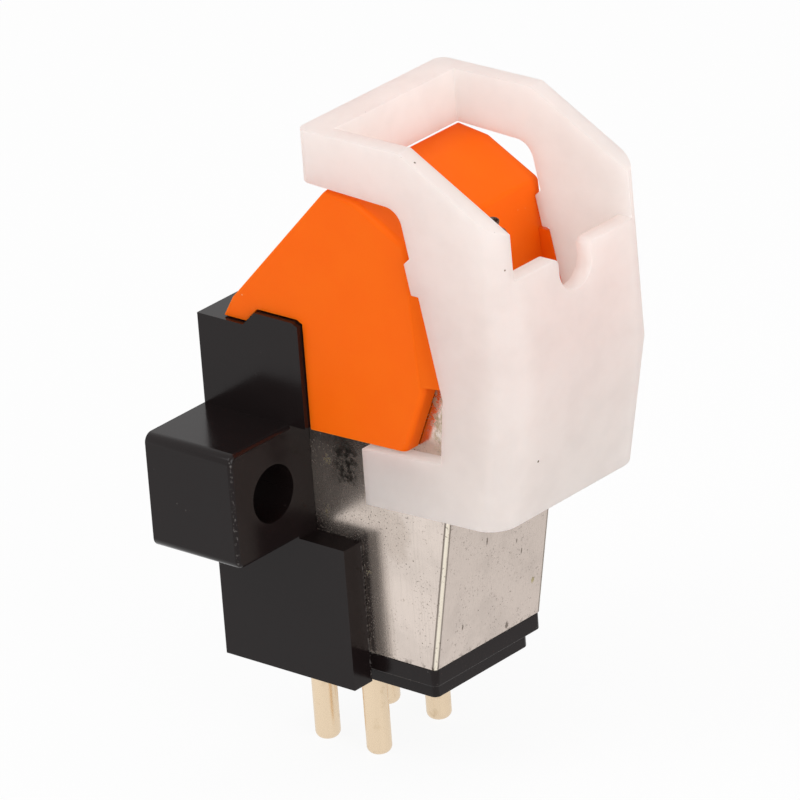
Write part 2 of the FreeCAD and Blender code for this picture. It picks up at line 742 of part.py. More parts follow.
joint_start = "(-sizes.damper_height / 2 - sizes.slide_gap - sizes.joint_length)"
tube_inside = "sizes.lever_radius - sizes.lever_sheet"
rod_length = f"sizes.lever_length - {joint_start}"
lever_rod = rod_on_lever("lever_rod", "sizes.lever_radius", joint_start, rod_length)
lever_hole = rod_on_lever("lever_hole", tube_inside, "sizes.damper_height", "sizes.lever_length")
cut("cantilever", lever_rod, lever_hole)
pipe = rod_on_lever("pipe", "sizes.joint_radius", joint_start, "sizes.joint_length")
pipe_hole = rod_on_lever("pipe_hole", "sizes.lever_radius", joint_start, "2 * sizes.joint_length")
cut("joint_pipe", pipe, pipe_hole)
magnet_start = f"{joint_start} - sizes.magnet_length"
rod_on_lever("magnet", "sizes.magnet_radius", magnet_start, "sizes.magnet_length")

# The diamond stands square on the lever's record side, a short way from its end.
spot = on_lever("sizes.lever_length - sizes.diamond_inset")
out_x = f"({spot[0]} + sizes.lever_radius * {cosine})"
out_z = f"({spot[2]} - sizes.lever_radius * {sine})"
square_on = "sizes.lever_tilt + 90"
shank = cylinder("shank", "sizes.diamond_radius", "sizes.diamond_shank", (out_x, "0", out_z), square_on)
tip = doc.addObject("Part::Cone", "tip")
tip.setExpression("Radius1", "sizes.diamond_radius")
tip.setExpression("Radius2", "sizes.diamond_radius / 8")
tip.setExpression("Height", "sizes.diamond_tip")
stand(tip, (
    f"{out_x} + sizes.diamond_shank * {cosine}", "0", f"{out_z} - sizes.diamond_shank * {sine}",
), square_on)
fuse("stylus_tip", shank, tip)

# Translucent guard: four walls around the nose, open at both ends, with a foot beside the can.
guard = part_body("stylus_guard")
guard_side = outline(guard, "guard_side", "side", [
    (guard_back, cap_bottom),
    (guard_back, cap_top),
    (cap_slant_back, cap_top),
    (guard_front, cap_front_top),
    (crease_front, holder_seat),
    (foot_front, f"{foot_bottom} + sizes.foot_rise"),
    (foot_back, foot_bottom),
    (foot_back, foot_top),
    (f"{holder_front} + sizes.waist_reach", f"{foot_top} + sizes.foot_rise"),
    (hip_front, hip_height),
    (edge_front(lug_bottom), lug_bottom),
    (f"{edge_front(lug_bottom)} - sizes.lug_height", lug_bottom),
    (f"{edge_front(lug_shoulder)} - sizes.lug_height", lug_shoulder),
    (edge_front(lug_top), lug_top),
    (f"{hip_front} - sizes.edge_lean", brim_bottom),
])
solid = pad(guard, guard_side, "sizes.guard_width")
guard_half = of("guard_width") / 2
front_lines = side_lines(guard_side, [(3, 4), (4, 5)], guard_half)
nape_lines = side_lines(guard_side, [(0, 1)], guard_half)
solid = round_edges(guard, "front_rounding", solid, front_lines, "sizes.guard_round")
solid = round_edges(guard, "nape_rounding", solid, nape_lines, "sizes.nape_round")
solid = round_edges(guard, "brim_rounding", solid, across_lines(guard_side, [14], guard_half),
                    "sizes.brim_round")
inside = outline(guard, "guard_inside", "side", [
    (f"{guard_back} + sizes.nape_wall", f"{foot_bottom} - 1"),
    (f"{foot_front} - sizes.guard_wall", f"{foot_bottom} - 1"),
    (f"{foot_front} - sizes.guard_wall", foot_bottom),
    (f"{crease_front} - sizes.guard_wall", holder_seat),
    (f"{guard_front} - sizes.guard_wall", cap_front_top),
    (f"{guard_front} - sizes.guard_wall", f"{cap_top} + 1"),
    (f"{guard_back} + sizes.nape_wall", f"{cap_top} + 1"),
])
pocket(guard, inside, f"2 * {guard_inside}")
sill = outline(guard, "sill", "side", rectangle(
    f"{guard_front} - 2 * sizes.guard_wall",
    f"{guard_front} + sizes.guard_wall",
    sill_top,
    f"{cap_top} + 1",
))
pocket(guard, sill, f"2 * {guard_inside}")
slot_low = f"({sill_top} - sizes.slot_depth + sizes.slot_width / 2)"
slot = outline(guard, "stylus_slot", "front", rectangle(
    "-sizes.slot_width / 2", "sizes.slot_width / 2", slot_low, f"{sill_top} + 1",
), f"{guard_front} - 2 * sizes.guard_wall")
pocket(guard, slot, "4 * sizes.guard_wall", symmetric=False, reverse=True)
slot_end = circles(guard, "slot_end", "front", "sizes.slot_width / 2", [("0", slot_low)],
                   f"{guard_front} - 2 * sizes.guard_wall")
solid = pocket(guard, slot_end, "4 * sizes.guard_wall", symmetric=False, reverse=True)
sill_level = corner(sill, 0).y
slot_lines = [
    (FreeCAD.Vector(0, y, sill_level), FreeCAD.Vector(4 * of("guard_length"), y, sill_level))
    for y in (-of("slot_width") / 2, of("slot_width") / 2)
]
round_edges(guard, "slot_rounding", solid, slot_lines, "sizes.slot_round")

NODES = [
    "body_moulding", "shield_can", "terminal_base", *PINS,
    "pole_left", "pole_right", "core_bridge", "bobbin_left", "bobbin_right",
    "coil_left", "coil_right", "channel_screen", "coil_leads",
    "stylus_holder", "plug_sleeve", "damper",
    "cantilever", "joint_pipe", "magnet", "stylus_tip",
    "stylus_guard",
]

doc.recompute()
for thing in doc.Objects:
    if "Invalid" in thing.State or "Error" in thing.State:
        raise RuntimeError(f"{thing.Label} failed: {thing.State}")
for node in NODES:
    shape = doc.getObject(node).Shape
    if shape.isNull() or not shape.isValid():
        raise RuntimeError(f"{node} has no valid shape")

os.makedirs("parts", exist_ok=True)
for node in NODES:
    doc.getObject(node).Shape.exportStep(f"parts/{node}.step")
    print(node, round(doc.getObject(node).Shape.Volume, 3))
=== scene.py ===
"""Dresses a moving-magnet stylus cartridge: body, plated can, stylus holder and milky guard."""
import logging
import math
from dataclasses import dataclass
from enum import Enum
from typing import Any, Callable, Iterable, Optional, Sequence, Union

import bmesh
import bpy
from mathutils import Matrix, Vector


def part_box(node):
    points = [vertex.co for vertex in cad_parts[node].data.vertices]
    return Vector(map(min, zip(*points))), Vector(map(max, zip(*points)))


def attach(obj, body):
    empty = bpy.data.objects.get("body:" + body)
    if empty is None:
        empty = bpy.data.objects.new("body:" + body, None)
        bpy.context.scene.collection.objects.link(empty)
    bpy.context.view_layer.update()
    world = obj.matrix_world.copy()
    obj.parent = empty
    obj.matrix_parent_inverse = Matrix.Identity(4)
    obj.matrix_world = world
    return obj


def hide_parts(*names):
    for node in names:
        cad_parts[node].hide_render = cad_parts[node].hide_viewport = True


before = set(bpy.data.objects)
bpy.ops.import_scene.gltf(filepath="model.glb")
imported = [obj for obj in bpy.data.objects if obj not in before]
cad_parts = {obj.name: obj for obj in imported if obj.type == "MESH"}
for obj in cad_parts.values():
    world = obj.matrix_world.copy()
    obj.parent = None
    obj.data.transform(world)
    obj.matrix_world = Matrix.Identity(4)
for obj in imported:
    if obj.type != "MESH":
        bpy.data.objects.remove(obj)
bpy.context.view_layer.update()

LOG = logging.getLogger("cartridge")
MM = 0.001
WELD = 0.0005 * MM  # points of a mesh that are nearer than this become one

Triple = tuple[float, float, float]
Mark = tuple[tuple[float, float], float, float, float]  # place, radius, raggedness, slenderness


def srgb(red: int, green: int, blue: int) -> Triple:
    """Turns a screen colour of 0 to 255 into the linear values that shaders use.

    Args:
        red: Red, 0 to 255.
        green: Green, 0 to 255.
        blue: Blue, 0 to 255.

    Returns:
        The three linear values.
    """
    def linear(value: float) -> float:
        """Gives the linear value of one channel."""
        return value / 12.92 if value <= 0.04045 else ((value + 0.055) / 1.055) ** 2.4

    return linear(red / 255), linear(green / 255), linear(blue / 255)


class Body(Enum):
    """The bodies that the joints move."""

    CARTRIDGE = "cartridge"
    STYLUS_UNIT = "stylus_unit"
    SUSPENSION = "suspension"
    LEVER = "lever"
    GUARD = "guard"


class Slot(Enum):
    """The material slots of the record."""

    BLACK = "black_moulding"
    NICKEL = "nickel"
    SLEEVE = "sleeve_metal"
    GILT = "gilt"
    CORE = "core_metal"
    BOBBIN = "bobbin_plastic"
    COPPER = "copper"
    ORANGE = "orange_moulding"
    RUBBER = "damper_rubber"
    ALLOY = "lever_alloy"
    MAGNET = "magnet_metal"
    DIAMOND = "diamond"
    GUARD = "clear_guard"


class Direction(Enum):
    """The axes that a surface's marks can run along."""

    X = 0
    Y = 1
    Z = 2


# ---- node trees ----


class Value:
    """A node's output that takes part in Python expressions, such as a mask over a surface."""

    def __init__(self, tree: "Tree", socket: bpy.types.NodeSocket) -> None:
        """Keeps an output socket and the tree that it belongs to."""
        self.tree = tree
        self.socket = socket

    def _math(self, operation: str, *values: Any) -> "Value":
        """Adds a Math node with numbers or values for its inputs, in order."""
        return self.tree.node("ShaderNodeMath", {"operation": operation}, dict(enumerate(values)))

    def __add__(self, other: Any) -> "Value":
        """Adds a number or a value."""
        return self._math("ADD", self, other)

    def __radd__(self, other: Any) -> "Value":
        """Adds a number or a value from the left."""
        return self._math("ADD", other, self)

    def __sub__(self, other: Any) -> "Value":
        """Takes away a number or a value."""
        return self._math("SUBTRACT", self, other)

    def __rsub__(self, other: Any) -> "Value":
        """Takes this value away from a number."""
        return self._math("SUBTRACT", other, self)

    def __mul__(self, other: Any) -> "Value":
        """Multiplies by a number or a value."""
        return self._math("MULTIPLY", self, other)

    def __rmul__(self, other: Any) -> "Value":
        """Multiplies a number by this value."""
        return self._math("MULTIPLY", other, self)

    def __pow__(self, other: Any) -> "Value":
        """Raises to a power."""
        return self._math("POWER", self, other)

    def highest(self, other: Any) -> "Value":
        """Gives the larger of two values."""
        return self._math("MAXIMUM", self, other)

    def lowest(self, other: Any) -> "Value":
        """Gives the smaller of two values."""
        return self._math("MINIMUM", self, other)

    def size(self) -> "Value":
        """Gives the value without its sign."""
        return self._math("ABSOLUTE", self)

    def ramp(self, low: float, high: float, start: float = 0.0, end: float = 1.0) -> "Value":
        """Goes smoothly from start to end while this value goes from low to high.

        Args:
            low: Where the change begins.
            high: Where it ends.
            start: The result at low.
            end: The result at high.

        Returns:
            The smooth value, held outside low and high.
        """
        return self.tree.node(
            "ShaderNodeMapRange",
            {"interpolation_type": "SMOOTHSTEP", "clamp": True},
            {"Value": self, "From Min": low, "From Max": high, "To Min": start, "To Max": end},
        )


Input = Union[Value, float, int, bool, Sequence[float]]


class Tree:
    """A node tree that is filled through one method."""

    def __init__(self, tree: bpy.types.NodeTree) -> None:
        """Keeps the node tree of a material, the world or a Geometry Nodes modifier."""
        self.tree = tree

    def add(self, kind: str, settings: Optional[dict[str, Any]] = None,
            inputs: Optional[dict[Union[str, int], Any]] = None) -> bpy.types.Node:
        """Adds a node with its settings, then the values or links of its sockets.

        Args:
            kind: The node's type.
            settings: The node's own properties, set before its sockets.
            inputs: Numbers, colours, materials or values, by socket name or number.

        Returns:
            The node.
        """
        made = self.tree.nodes.new(kind)
        for name, setting in (settings or {}).items():
            setattr(made, name, setting)
        for name, given in (inputs or {}).items():
            target = made.inputs[name]
            if isinstance(given, Value):
                self.tree.links.new(given.socket, target)
            elif isinstance(given, (tuple, list)) and len(given) == 3 and target.type == "RGBA":
                target.default_value = (*given, 1.0)
            else:
                target.default_value = given
        return made

    def node(self, kind: str, settings: Optional[dict[str, Any]] = None,
             inputs: Optional[dict[Union[str, int], Any]] = None,
             output: Union[str, int] = 0) -> Value:
        """Adds a node as add does, and gives the output of that name or number."""
        return Value(self, self.add(kind, settings, inputs).outputs[output])


class Surface(Tree):
    """The shader tree of one material, with its patterns measured in millimetres."""

    def __init__(self, name: str) -> None:
        """Makes an empty material.

        Args:
            name: The material's name.
        """
        self.material = bpy.data.materials.new(name)
        self.material.use_nodes = True
        self.material.node_tree.nodes.clear()
        super().__init__(self.material.node_tree)
        point = self.node("ShaderNodeTexCoord", output="Object")
        self.place = self.node("ShaderNodeVectorMath", {"operation": "SCALE"},
                               {0: point, 3: 1.0 / MM})

    def vector(self, operation: str, *values: Any, output: Union[str, int] = 0) -> Value:
        """Adds a Vector Math node with vectors or values for its inputs, in order."""
        settings, inputs = {"operation": operation}, dict(enumerate(values))
        return self.node("ShaderNodeVectorMath", settings, inputs, output)

    def stretched(self, along: Direction, times: float) -> Value:
        """Gives the place in millimetres with one axis drawn out, for marks that run along it.

        Args:
            along: The axis that the marks run along.
            times: How many times longer than wide the marks are.

        Returns:
            The stretched place.
        """
        scale = [1.0, 1.0, 1.0]
        scale[along.value] = 1.0 / times
        return self.node("ShaderNodeMapping", {"vector_type": "POINT"},
                         {"Vector": self.place, "Scale": tuple(scale)})

    def noise(self, size: float, detail: float = 3.0, rough: float = 0.55,
              place: Optional[Value] = None, shift: Triple = (0.0, 0.0, 0.0)) -> Value:
        """Adds a cloudy pattern.

        Args:
            size: The size of its blots, in millimetres.
            detail: How many finer layers it has.
            rough: How strong the finer layers are.
            place: The place to read it at, or None for the surface's own place.
            shift: Moves the pattern, so that two of them differ.

        Returns:
            The pattern, about 0.3 to 0.7.
        """
        spot = self.place if place is None else place
        if any(shift):
            spot = self.vector("ADD", spot, shift)
        return self.node("ShaderNodeTexNoise", {"noise_dimensions": "3D"}, {
            "Vector": spot, "Scale": 1.0 / size, "Detail": detail, "Roughness": rough,
        })

    def specks(self, size: float, share: float, shift: Triple = (0.0, 0.0, 0.0)) -> Value:
        """Adds scattered round specks.

        Args:
            size: The distance between neighbouring specks, in millimetres.
            share: The radius of a speck as a share of that distance.
            shift: Moves the pattern.

        Returns:
            A mask that is 1 in a speck and 0 elsewhere.
        """
        spot = self.vector("ADD", self.place, shift)
        cell = self.add("ShaderNodeTexVoronoi", {"feature": "F1"},
                        {"Vector": spot, "Scale": 1.0 / size})
        reach = Value(self, cell.outputs["Distance"])
        pick = self.node("ShaderNodeSeparateColor", inputs={0: Value(self, cell.outputs["Color"])})
        return reach.ramp(share, share * 0.55) * pick.ramp(0.45, 0.5)

    def spot(self, centre: Triple, radius: float, ragged: float = 0.5, tall: float = 1.0) -> Value:
        """Adds one soft blot or upright streak with a ragged edge.

        Args:
            centre: Its middle, in millimetres.
            radius: Its radius, in millimetres.
            ragged: How uneven the edge is, as a share of the radius.
            tall: How many times taller than wide it is.

        Returns:
            A mask that is 1 in its middle and 0 outside.
        """
        away = self.vector("SUBTRACT", self.place, centre)
        even = self.vector("MULTIPLY", away, (1.0, 1.0, 1.0 / tall))
        reach = self.vector("LENGTH", even, output="Value")
        wobble = (self.noise(radius * 0.6, 4.0) - 0.5) * (2.0 * ragged * radius)
        return (reach + wobble).ramp(radius, radius * 0.45)

    def upright(self, across: float, aside: float, radius: float) -> Value:
        """Marks what lies along two upright lines, one on each side of the part.

        Args:
            across: The lines' place along X, in millimetres.
            aside: Their distance from the middle plane, in millimetres.
            radius: How far the mark reaches from a line, in millimetres.

        Returns:
            A mask that is 1 on the lines and 0 beyond the radius.
        """
        first = self.along(Direction.X) - across
        second = self.along(Direction.Y).size() - aside
        return (first * first + second * second).ramp(radius * radius, radius * radius * 0.3)

    def along(self, axis: Direction) -> Value:
        """Gives one coordinate of the place, in millimetres."""
        return self.node("ShaderNodeSeparateXYZ", inputs={0: self.place}, output=axis.value)

    def edge(self) -> Value:
        """Gives the mask that the softened meshes carry on their rounded edges, used for wear marks
        and for the orange's painted highlight.
        """
        return self.node("ShaderNodeAttribute", {"attribute_name": "rounded_edge"}, output="Fac")

    def colour(self, base: Union[Value, Triple], other: Union[Value, Triple],
               share: Value) -> Value:
        """Mixes two colours.

        Args:
            base: The colour at share 0.
            other: The colour at share 1.
            share: The mask.

        Returns:
            The mixed colour.
        """
        made = self.add("ShaderNodeMix", {"data_type": "RGBA", "blend_type": "MIX"})
        for number, given in ((0, share), (6, base), (7, other)):
            if isinstance(given, Value):
                self.tree.links.new(given.socket, made.inputs[number])
            else:
                made.inputs[number].default_value = (*given, 1.0)
        return Value(self, made.outputs[2])

    def bump(self, height: Value, depth: float, strength: float = 1.0) -> Value:
        """Turns a height pattern into a normal.

        Args:
            height: The pattern, 0 to 1.
            depth: The height of its full range, in millimetres.
            strength: How much of it shows.

        Returns:
            The normal.
        """
        return self.node("ShaderNodeBump", inputs={
            "Height": height, "Distance": depth * MM, "Strength": strength,
        })

    def finish(self, **inputs: Input) -> bpy.types.Material:
        """Ends the material in one Principled shader.

        Args:
            **inputs: The shader's sockets, with underscores for the spaces in their names.

        Returns:
            The material.
        """
        named = {name.replace("_", " "): given for name, given in inputs.items()}
        shader = self.node("ShaderNodeBsdfPrincipled", inputs=named)
        self.add("ShaderNodeOutputMaterial", inputs={"Surface": shader})
        return self.material


# ---- finishes ----


@dataclass(frozen=True)
class BlackMoulding:
    """Glossy black moulded plastic with faint dust, pale worn specks on its edges and a pale line
    beside the can that is partly painted highlight.

    Attributes:
        tone: Its colour.
        dust: The colour of dust, worn specks and the pale line beside the can.
        gloss: Its roughness.
        ear_rim: The line of worn specks on each ear's rim: its place along X, its distance from
            the middle plane and its radius, in millimetres.
        seam_highlight: The same of the pale line beside the can, partly wear and partly a painted
            highlight on the lower block's front edge.
    """

    tone: Triple = (0.0092, 0.006, 0.006)
    dust: Triple = (0.11, 0.10, 0.095)
    gloss: float = 0.16
    ear_rim: Triple = (4.95, 8.95, 0.11)
    seam_highlight: Triple = (7.6, 3.75, 0.07)

    def make(self) -> bpy.types.Material:
        """Builds the material.

        Returns:
            The material.
        """
        surface = Surface("black_moulding_finish")
        haze = surface.noise(1.6, 4.0).ramp(0.42, 0.72)
        grit = surface.specks(0.55, 0.09) * surface.noise(2.4, 2.0).ramp(0.5, 0.62)
        rims = surface.edge().highest(surface.upright(*self.ear_rim))
        chips = rims * surface.noise(0.13, 3.0, 0.7).ramp(0.56, 0.66)
        # partly wear, partly painted highlight: a pale line along the lower block's front edge
        # beside the can
        seam_highlight = surface.upright(*self.seam_highlight) * surface.noise(0.16, 3.0, 0.7).ramp(0.45, 0.65)
        marks = (grit * 0.5 + chips * 0.9 + seam_highlight * 0.7).lowest(1.0)
        rough = self.gloss + haze * 0.05 + marks * 0.4
        fine = surface.noise(0.07, 2.0) + surface.noise(1.1, 2.0) * 0.5
        return surface.finish(
            Base_Color=surface.colour(self.tone, self.dust, marks),
            Roughness=rough,
            Normal=surface.bump(fine, 0.004, 0.3),
            Specular_IOR_Level=0.2,
        )


@dataclass(frozen=True)
class NickelPlate:
    """Nickel-plated sheet, finely brushed along its height, with dirt, dark streaks, worn folds
    with a painted highlight, and a painted dark reflection of the ear.

    Attributes:
        tone: The colour of the clean plating.
        fold_highlight: The colour painted on the two folds of the record side, for their worn
            plating and a painted highlight on their rounding.
        soil: The colour of the dirt.
        dark_mark: The colour of the dark reflection of the ear, painted on the near side.
        dust: The colour of the pale dust.
        stain: The colour of the yellow flecks.
        gloss: The roughness of clean plating.
        half_width: Half the can's width, in millimetres.
        fold_round: The radius of its folds, in millimetres.
        low_corner: Where its record side starts, along X and Z, in millimetres.
        high_corner: Where its record side ends, along X and Z, in millimetres.
        streaks: The middle, radius and slenderness of each dark streak on the record side.
        near_block: The dusty patch beside the lower block, on the near side. As all marks of
            that side it has a place along X and Z, a radius, a raggedness and a slenderness.
        by_ear: The dusty patch beside the ear.
        ear_reflection: The painted dark reflection of the black ear.
        corner: The stain at the upper corner.
        flecks: The yellow flecks.
        fold_fleck: The middle, radius, raggedness and slenderness of the one on the fold.
    """

    tone: Triple = (0.75, 0.655, 0.59)
    fold_highlight: Triple = (0.97, 0.89, 0.75)
    soil: Triple = (0.085, 0.06, 0.04)
    dark_mark: Triple = (0.022, 0.016, 0.011)
    dust: Triple = (0.30, 0.225, 0.16)
    stain: Triple = srgb(158, 146, 92)
    gloss: float = 0.1
    half_width: float = 3.69
    fold_round: float = 0.2
    low_corner: tuple[float, float] = (11.38, -8.24)
    high_corner: tuple[float, float] = (14.14, 6.44)
    streaks: tuple[tuple[Triple, float, float], ...] = (
        ((12.41, -0.76, -2.75), 0.07, 6.0),
        ((12.25, 1.41, -3.62), 0.06, 3.0),
        ((12.12, 1.83, -4.30), 0.06, 5.0),
        ((11.68, -1.99, -6.66), 0.07, 3.5),
        ((11.46, 1.24, -7.90), 0.15, 1.8),
    )
    near_block: Mark = ((8.9, -2.0), 1.9, 0.9, 1.0)
    by_ear: Mark = ((6.6, -0.4), 3.6, 0.5, 1.0)
    ear_reflection: Mark = ((6.95, 0.9), 0.95, 0.8, 1.35)
    corner: Mark = ((12.9, 4.3), 0.7, 0.9, 3.0)
    flecks: tuple[Mark, ...] = (
        ((5.95, 0.85), 0.24, 0.9, 1.4),
        ((5.7, -1.7), 0.2, 0.9, 2.0),
        ((7.9, -4.25), 0.2, 0.9, 1.0),
    )
    fold_fleck: tuple[Triple, float, float, float] = ((11.75, 2.86, -6.23), 0.13, 0.7, 1.6)

    def make(self) -> bpy.types.Material:
        """Builds the material.

        Returns:
            The material.
        """
        surface = Surface("nickel_plate_finish")
        grain = surface.noise(0.06, 3.0, 0.6, surface.stretched(Direction.Z, 60.0))
        broad = surface.noise(0.5, 3.0, 0.6, surface.stretched(Direction.Z, 8.0))
        blotch = surface.noise(2.2, 4.0, 0.6)
        worn_highlight, reflection_borders = self.folds(surface)
        across, rise = surface.along(Direction.X), surface.along(Direction.Z)
        near_block, by_ear = self.blot(surface, self.near_block), self.blot(surface, self.by_ear)
        fine = surface.noise(1.3, 3.0, shift=(7.0, 3.0, 1.0)).ramp(0.44, 0.56).highest(near_block)
        fine = fine * surface.noise(0.1, 2.0, 0.5).ramp(0.61, 0.67)
        powder = surface.noise(0.9, 3.0).ramp(0.5, 0.6).highest(by_ear)
        powder = powder * surface.noise(0.11, 2.0, 0.5, shift=(4.0, 1.0, 6.0)).ramp(0.64, 0.72)
        grit = surface.specks(0.6, 0.09, (2.0, 2.0, 5.0)) * surface.noise(1.6, 3.0).ramp(0.46, 0.56)
        # painted reflection: a dark patch where the near side mirrors the black ear
        ear_reflection = self.blot(surface, self.ear_reflection) * surface.noise(0.2, 3.0).ramp(0.35, 0.6)
        corner = self.blot(surface, self.corner) * surface.noise(0.2, 3.0, 0.7).ramp(0.4, 0.6)
        foot = rise.ramp(-7.85, -8.2) * surface.noise(0.3, 3.0, 0.7).ramp(0.52, 0.6)
        # the fold borders in this sum are painted dark reflection lines; the other marks are dirt
        dark = fine * 0.55 + grit * 0.8 + foot * 0.6 + reflection_borders * 0.8
        for centre, radius, tall in self.streaks:
            dark = dark + surface.spot(centre, radius, 0.6, tall) * 0.85
        yellow = self.blot(surface, self.flecks[0])
        for fleck in self.flecks[1:]:
            yellow = yellow.highest(self.blot(surface, fleck))
        yellow = yellow * surface.noise(0.12, 2.0, 0.5, shift=(1.0, 6.0, 2.0)).ramp(0.48, 0.6)
        yellow = yellow.highest(surface.spot(*self.fold_fleck))
        yellow = yellow.highest(corner * 0.8)
        marks = dark.lowest(1.0)
        strip = across.ramp(7.8, 8.1) * across.ramp(9.4, 8.6) * rise.ramp(-1.5, -2.4)
        film = (by_ear.highest(near_block) * 0.14).highest(strip * 0.19)
        dull = marks.highest(powder * 0.25).highest(yellow * 0.55).highest(film)
        tone = surface.colour(self.tone, tuple(c * 0.9 for c in self.tone), blotch.ramp(0.4, 0.65))
        tone = surface.colour(tone, tuple(c * 0.8 for c in self.tone), grain.ramp(0.5, 0.68) * 0.35)
        # painted highlight: the folds turn bright cream, for worn plating and the shine of their
        # rounding
        tone = surface.colour(tone, self.fold_highlight, worn_highlight * grain.ramp(0.72, 0.6))
        tone = surface.colour(tone, self.stain, yellow * 0.8)
        tone = surface.colour(tone, self.dust, film * 1.5)
        # paints the dark reflection of the ear
        tone = surface.colour(tone, self.dark_mark, ear_reflection * 0.85)
        tone = surface.colour(tone, self.dust, powder * 0.4)
        rough = self.gloss + grain * 0.1 + broad * 0.06 + dull * 0.35 + yellow * 0.2
        return surface.finish(
            Base_Color=surface.colour(tone, self.soil, marks),
            Metallic=1.0 - dull * 0.9,
            Roughness=rough,
            Normal=surface.bump(grain * 0.7 + broad * 0.3 - marks * 0.3, 0.006, 0.5),
        )

    def blot(self, surface: Surface, mark: Mark) -> Value:
        """Adds one mark of the can's near side to a surface."""
        (ahead, height), *form = mark
        return surface.spot((ahead, -self.half_width, height), *form)

    def folds(self, surface: Surface) -> tuple[Value, Value]:
        """Masks the folds' worn plating and painted highlight, and a painted dark reflection line
        on each side of it.

        Args:
            surface: The surface to add to.

        Returns:
            The mask of the worn plating and painted highlight, and the mask of its painted dark
            borders.
        """
        (low_x, low_z), (high_x, high_z) = self.low_corner, self.high_corner
        rise = surface.along(Direction.Z) - low_z
        slant = rise * ((high_x - low_x) / (high_z - low_z))
        ahead = surface.along(Direction.X) - slant - (low_x - self.fold_round)
        aside = surface.along(Direction.Y).size() - (self.half_width - self.fold_round)
        inward = ahead.lowest(aside)
        worn_highlight = inward.ramp(0.03, 0.1)
        return worn_highlight, inward.ramp(-0.045, 0.0) * (1.0 - worn_highlight)


@dataclass(frozen=True)
class OrangeMoulding:
    """Satin orange moulded plastic that lets a little light in, with a painted highlight on its
    rounded edges.
    """

    tone: Triple = (0.93, 0.134, 0.004)
    # the lighter orange painted on the rounded edges as a highlight
    highlight_tone: Triple = (1.0, 0.24, 0.012)
    dust: Triple = srgb(255, 196, 150)
    gloss: float = 0.36

    def make(self) -> bpy.types.Material:
        """Builds the material.

        Returns:
            The material.
        """
        surface = Surface("orange_moulding_finish")
        cloud = surface.noise(3.0, 3.0).ramp(0.35, 0.7)
        # painted highlight: the rounded edges are painted in the lighter orange, and faint random
        # clouds of it too
        rims = surface.edge() * 0.55
        fluff = surface.specks(0.8, 0.06, (2.0, 5.0, 1.0)) * surface.noise(2.0, 2.0).ramp(0.52, 0.6)
        tone = surface.colour(self.tone, self.highlight_tone, rims + cloud * 0.08)
        fine = surface.noise(0.12, 3.0)
        return surface.finish(
            Base_Color=surface.colour(tone, self.dust, fluff * 0.6),
            Roughness=self.gloss + cloud * 0.08,
            Normal=surface.bump(fine, 0.004, 0.3),
            Subsurface_Weight=0.12,
            Subsurface_Radius=(1.0, 0.35, 0.05),
            Subsurface_Scale=0.0012,
            Specular_IOR_Level=0.06,
        )


@dataclass(frozen=True)
class MilkyGuard:
    """Milky translucent plastic with a few dark specks and dark marks on its edges."""

    tone: Triple = srgb(252, 245, 241)
    soil: Triple = (0.12, 0.08, 0.05)
    gloss: float = 0.32

    def make(self) -> bpy.types.Material:
        """Builds the material.

        Returns:
            The material.
        """
        surface = Surface("milky_guard_finish")
        cloud = surface.noise(2.5, 3.0).ramp(0.35, 0.7)
        dots = surface.specks(2.1, 0.035, (1.0, 2.0, 0.5))
        dark_mark = surface.edge() * surface.noise(0.18, 3.0, 0.7).ramp(0.66, 0.74)
        marks = (dots + dark_mark * 0.35).lowest(1.0)
        tone = surface.colour(self.tone, tuple(c * 0.95 for c in self.tone), cloud)
        fine = surface.noise(0.2, 3.0) + surface.noise(1.8, 2.0) * 0.8
        base = surface.colour(tone, self.soil, marks)
        normal = surface.bump(fine, 0.006, 0.4)
        milk = surface.node("ShaderNodeBsdfPrincipled", inputs={
            "Base Color": base, "Roughness": self.gloss + cloud * 0.1, "Normal": normal,
            "Subsurface Weight": 1.0, "Subsurface Radius": (1.0, 0.93, 0.9),
            "Subsurface Scale": 0.003, "Specular IOR Level": 0.25,
        })
        glow = surface.node("ShaderNodeBsdfTranslucent", inputs={"Color": base, "Normal": normal})
        both = surface.node("ShaderNodeMixShader", inputs={0: 0.5, 1: milk, 2: glow})
        surface.add("ShaderNodeOutputMaterial", inputs={"Surface": both})
        return surface.material


@dataclass(frozen=True)
class PlainMetal:
    """Bare or plated metal with fine turning or rolling marks.

    Attributes:
        name: The material's name.
        tone: Its colour.
        gloss: Its roughness.
        along: The axis that the marks run along.
        tarnish: The colour of its dull patches.
        spread: How much of it is dull.
        glued_above: The height above which brown glue covers it, in millimetres.
        glue: The colour of that glue.
    """

    name: str
    tone: Triple
    gloss: float
    along: Direction = Direction.Z
    tarnish: Triple = (0.2, 0.14, 0.08)
    spread: float = 0.3
    glued_above: Optional[float] = None
    glue: Triple = (0.06, 0.025, 0.012)

    def make(self) -> bpy.types.Material:
        """Builds the material.

        Returns:
            The material.
        """
        surface = Surface(self.name)
        grain = surface.noise(0.05, 3.0, 0.6, surface.stretched(self.along, 14.0))
        start, end = (limit - 0.2 * self.spread for limit in (0.62, 0.8))
        patch = surface.noise(0.7, 4.0, 0.65).ramp(start, end)
        tone = surface.colour(self.tone, self.tarnish, patch * self.spread)
        metal: Input = 1.0
        if self.glued_above is not None:
            glued = surface.along(Direction.Z).ramp(self.glued_above, self.glued_above + 0.08)
            tone = surface.colour(tone, self.glue, glued)
            metal = 1.0 - glued
        return surface.finish(
            Base_Color=tone,
            Metallic=metal,
            Roughness=self.gloss + grain * 0.14 + patch * 0.2,
            Normal=surface.bump(grain, 0.005, 0.5),
        )


